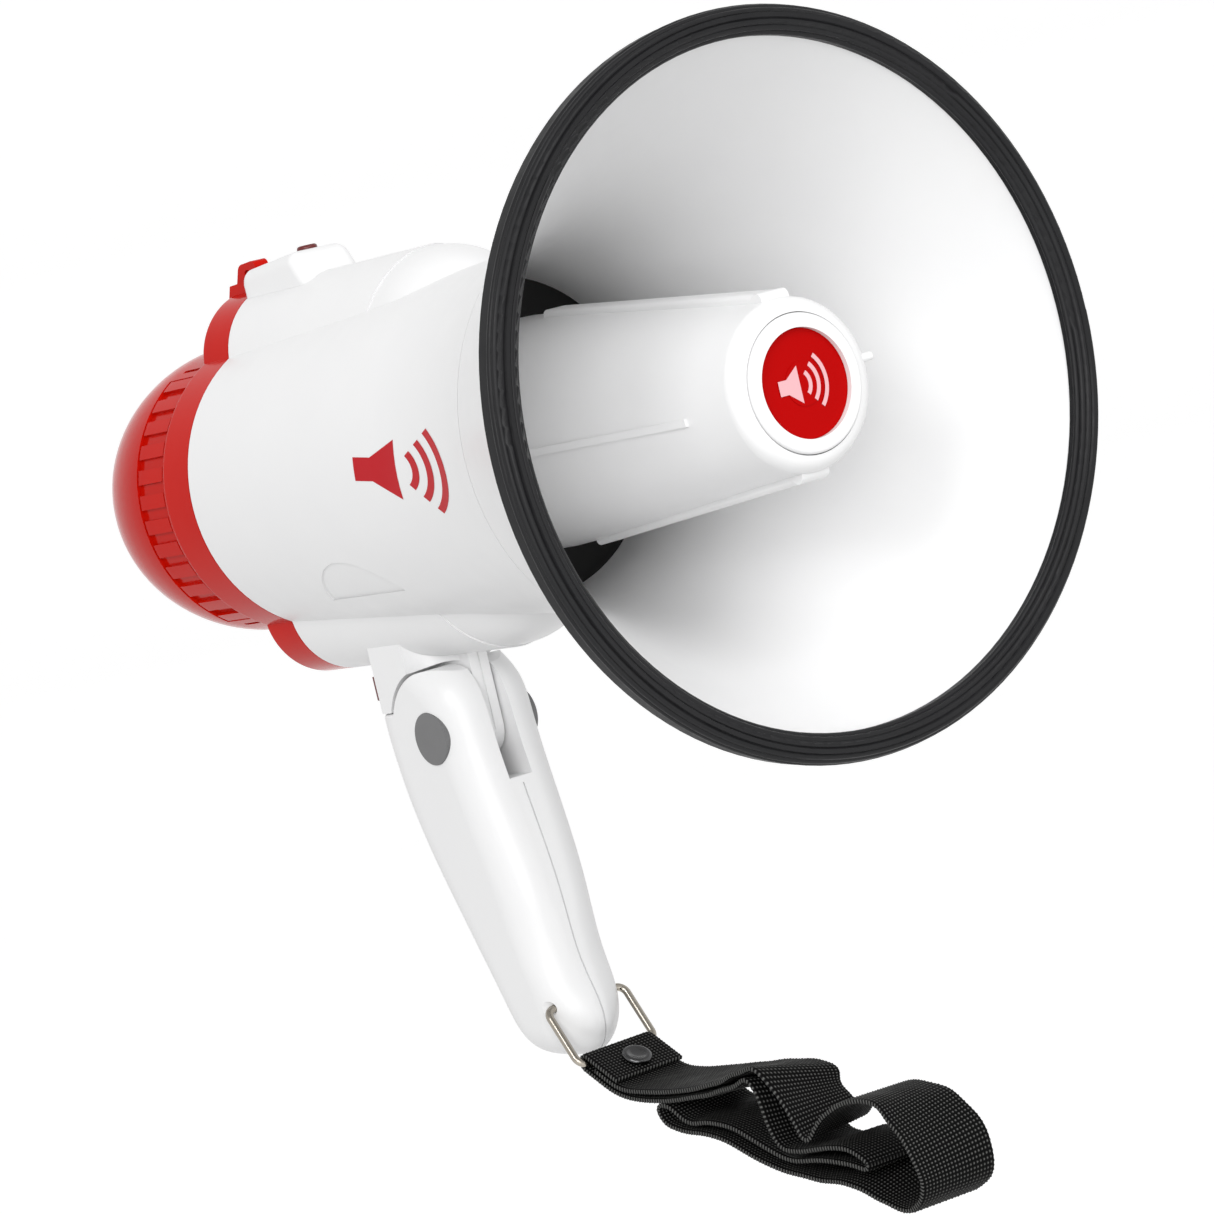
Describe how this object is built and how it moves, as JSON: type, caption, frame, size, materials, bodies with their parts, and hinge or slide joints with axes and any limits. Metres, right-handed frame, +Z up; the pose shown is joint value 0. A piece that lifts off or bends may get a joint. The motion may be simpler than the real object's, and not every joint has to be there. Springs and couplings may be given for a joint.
{
  "type": "handheld megaphone",
  "caption": "Small battery megaphone with a flared horn, a central nose, a pull-off rear cap, a folding pistol handle and a wrist strap.",
  "frame": {"origin": "middle of the handle's pivot bolt, on the plane of symmetry", "axes": "+Z up; +Y from the mouth to the rear cap, along the horn's axis; +X completes the right-handed frame"},
  "size_m": [0.155, 0.2539, 0.2495],
  "materials": {
    "white_shell": "moulded gloss",
    "rim_rubber": "satin",
    "badge_red": "semi-gloss",
    "cap_red": "high gloss",
    "button_red": "gloss",
    "black_plastic": "matte",
    "component_black": "matte",
    "grey_cover": "matte",
    "washer": "waxy",
    "foam": "matte",
    "diaphragm": "film",
    "copper": "enamelled",
    "steel": "zinc plated",
    "ferrite": "matte",
    "lead_wire": "satin",
    "nickel": "plated",
    "cell": "printed sleeve",
    "circuit_board": "solder mask",
    "webbing": "woven",
    "rivet_black": "gloss"
  },
  "bodies": {
    "horn": {"horn_bell": "white_shell", "rim_rubber": "rim_rubber", "nose_cone": "white_shell", "nose_cap": "white_shell", "nose_badge": "badge_red", "sound_tube": "black_plastic", "throat_plate": "black_plastic", "nose_screws": "steel", "driver_gasket": "foam", "driver_frame": "black_plastic", "driver_diaphragm": "diaphragm", "voice_coil": "copper", "driver_top_plate": "steel", "driver_magnet": "ferrite", "driver_yoke": "steel", "driver_leads": "lead_wire", "driver_screws": "steel", "barrel": "white_shell", "battery_carrier": "black_plastic", "front_contacts": "nickel", "battery_cell_1": "cell", "battery_cell_2": "cell", "battery_cell_3": "cell", "battery_cell_4": "cell", "switch_housing": "white_shell", "signal_switch": "black_plastic", "stem_bracket": "white_shell", "bracket_screws": "steel", "talk_springs": "steel", "talk_switch": "black_plastic"},
    "rear_cap": {"rear_collar": "cap_red", "rear_dome": "cap_red", "contact_board": "circuit_board", "rear_contacts": "nickel", "microphone_grille": "black_plastic", "microphone_capsule": "nickel", "microphone_boot": "rim_rubber", "volume_control": "black_plastic", "amplifier_board": "circuit_board", "board_components": "component_black", "board_screws": "steel"},
    "volume_knob": {"volume_knob": "button_red", "volume_shaft": "nickel"},
    "signal_button": {"signal_button": "button_red"},
    "talk_button": {"talk_button": "button_red"},
    "handle": {"handle_shell_left": "white_shell", "handle_shell_right": "white_shell", "handle_screws": "steel", "pivot_bolt": "steel", "pivot_nut": "steel", "pivot_cover_left": "grey_cover", "pivot_cover_right": "grey_cover", "friction_washers": "washer"},
    "ring": {"strap_ring": "nickel"},
    "strap": {"wrist_strap": "webbing", "strap_rivet": "rivet_black"}
  },
  "joints": [
    {"name": "cap_pull", "type": "slide", "parent": "horn", "child": "rear_cap", "axis": [0, 1, 0], "range_m": [0, 0.025]},
    {"name": "knob_turn", "type": "hinge", "parent": "rear_cap", "child": "volume_knob", "pos_m": [0, 0.0945, 0.0443], "axis": [0, 1, 0], "range_deg": [0, 270]},
    {"name": "signal_press", "type": "slide", "parent": "horn", "child": "signal_button", "axis": [0, 0, -1], "range_m": [0, 0.0012], "stiffness_N_per_m": 300, "springref_m": -0.001},
    {"name": "talk_press", "type": "slide", "parent": "horn", "child": "talk_button", "axis": [0, -1, 0], "range_m": [0, 0.002], "stiffness_N_per_m": 400, "springref_m": -0.001},
    {"name": "handle_fold", "type": "hinge", "parent": "horn", "child": "handle", "pos_m": [0, 0, 0], "axis": [-1, 0, 0], "range_deg": [0, 80]},
    {"name": "ring_swing", "type": "hinge", "parent": "handle", "child": "ring", "pos_m": [0, -0.017, -0.0646], "axis": [-1, 0, 0], "range_deg": [-32, 0]},
    {"name": "strap_swing", "type": "hinge", "parent": "ring", "child": "strap", "pos_m": [0, -0.02517, -0.07718], "axis": [-1, 0, 0], "range_deg": [-100, 0]}
  ],
  "couplings": [
    {"joint": "ring_swing", "follows": "handle_fold", "ratio": -0.4},
    {"joint": "strap_swing", "follows": "handle_fold", "ratio": -1.25}
  ]
}
